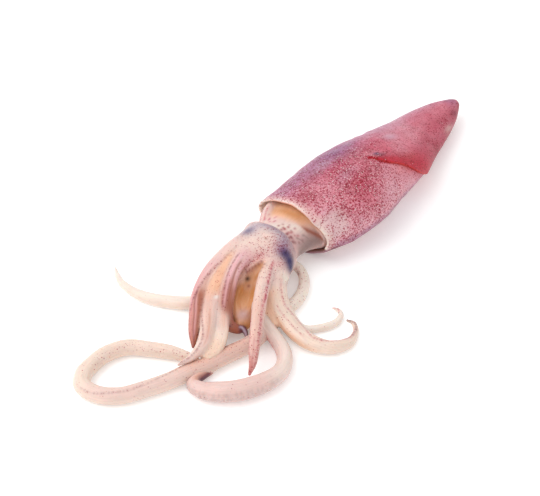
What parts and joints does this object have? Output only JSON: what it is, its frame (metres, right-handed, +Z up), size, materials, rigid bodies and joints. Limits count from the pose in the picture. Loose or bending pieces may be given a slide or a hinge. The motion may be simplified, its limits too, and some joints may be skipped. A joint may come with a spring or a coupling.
{
  "type": "whole raw squid",
  "caption": "Whole raw squid lying belly down: a tapering mantle with draped fins, head with eyes, spread arms, and long tentacles in loose loops.",
  "frame": {"origin": "middle of the whole animal's bounding box, on the plane that it lies on", "axes": "+X from the arms along the mantle to the tail tip, +Y towards the animal's right side, +Z up from the plane that it lies on"},
  "size_m": [0.404, 0.1704, 0.0445],
  "materials": {
    "flesh": "wet pink-red speckled skin on the mantle, pale cream-pink flesh on the head and arms"
  },
  "bodies": {
    "root": {"squid": "flesh"}
  },
  "joints": []
}
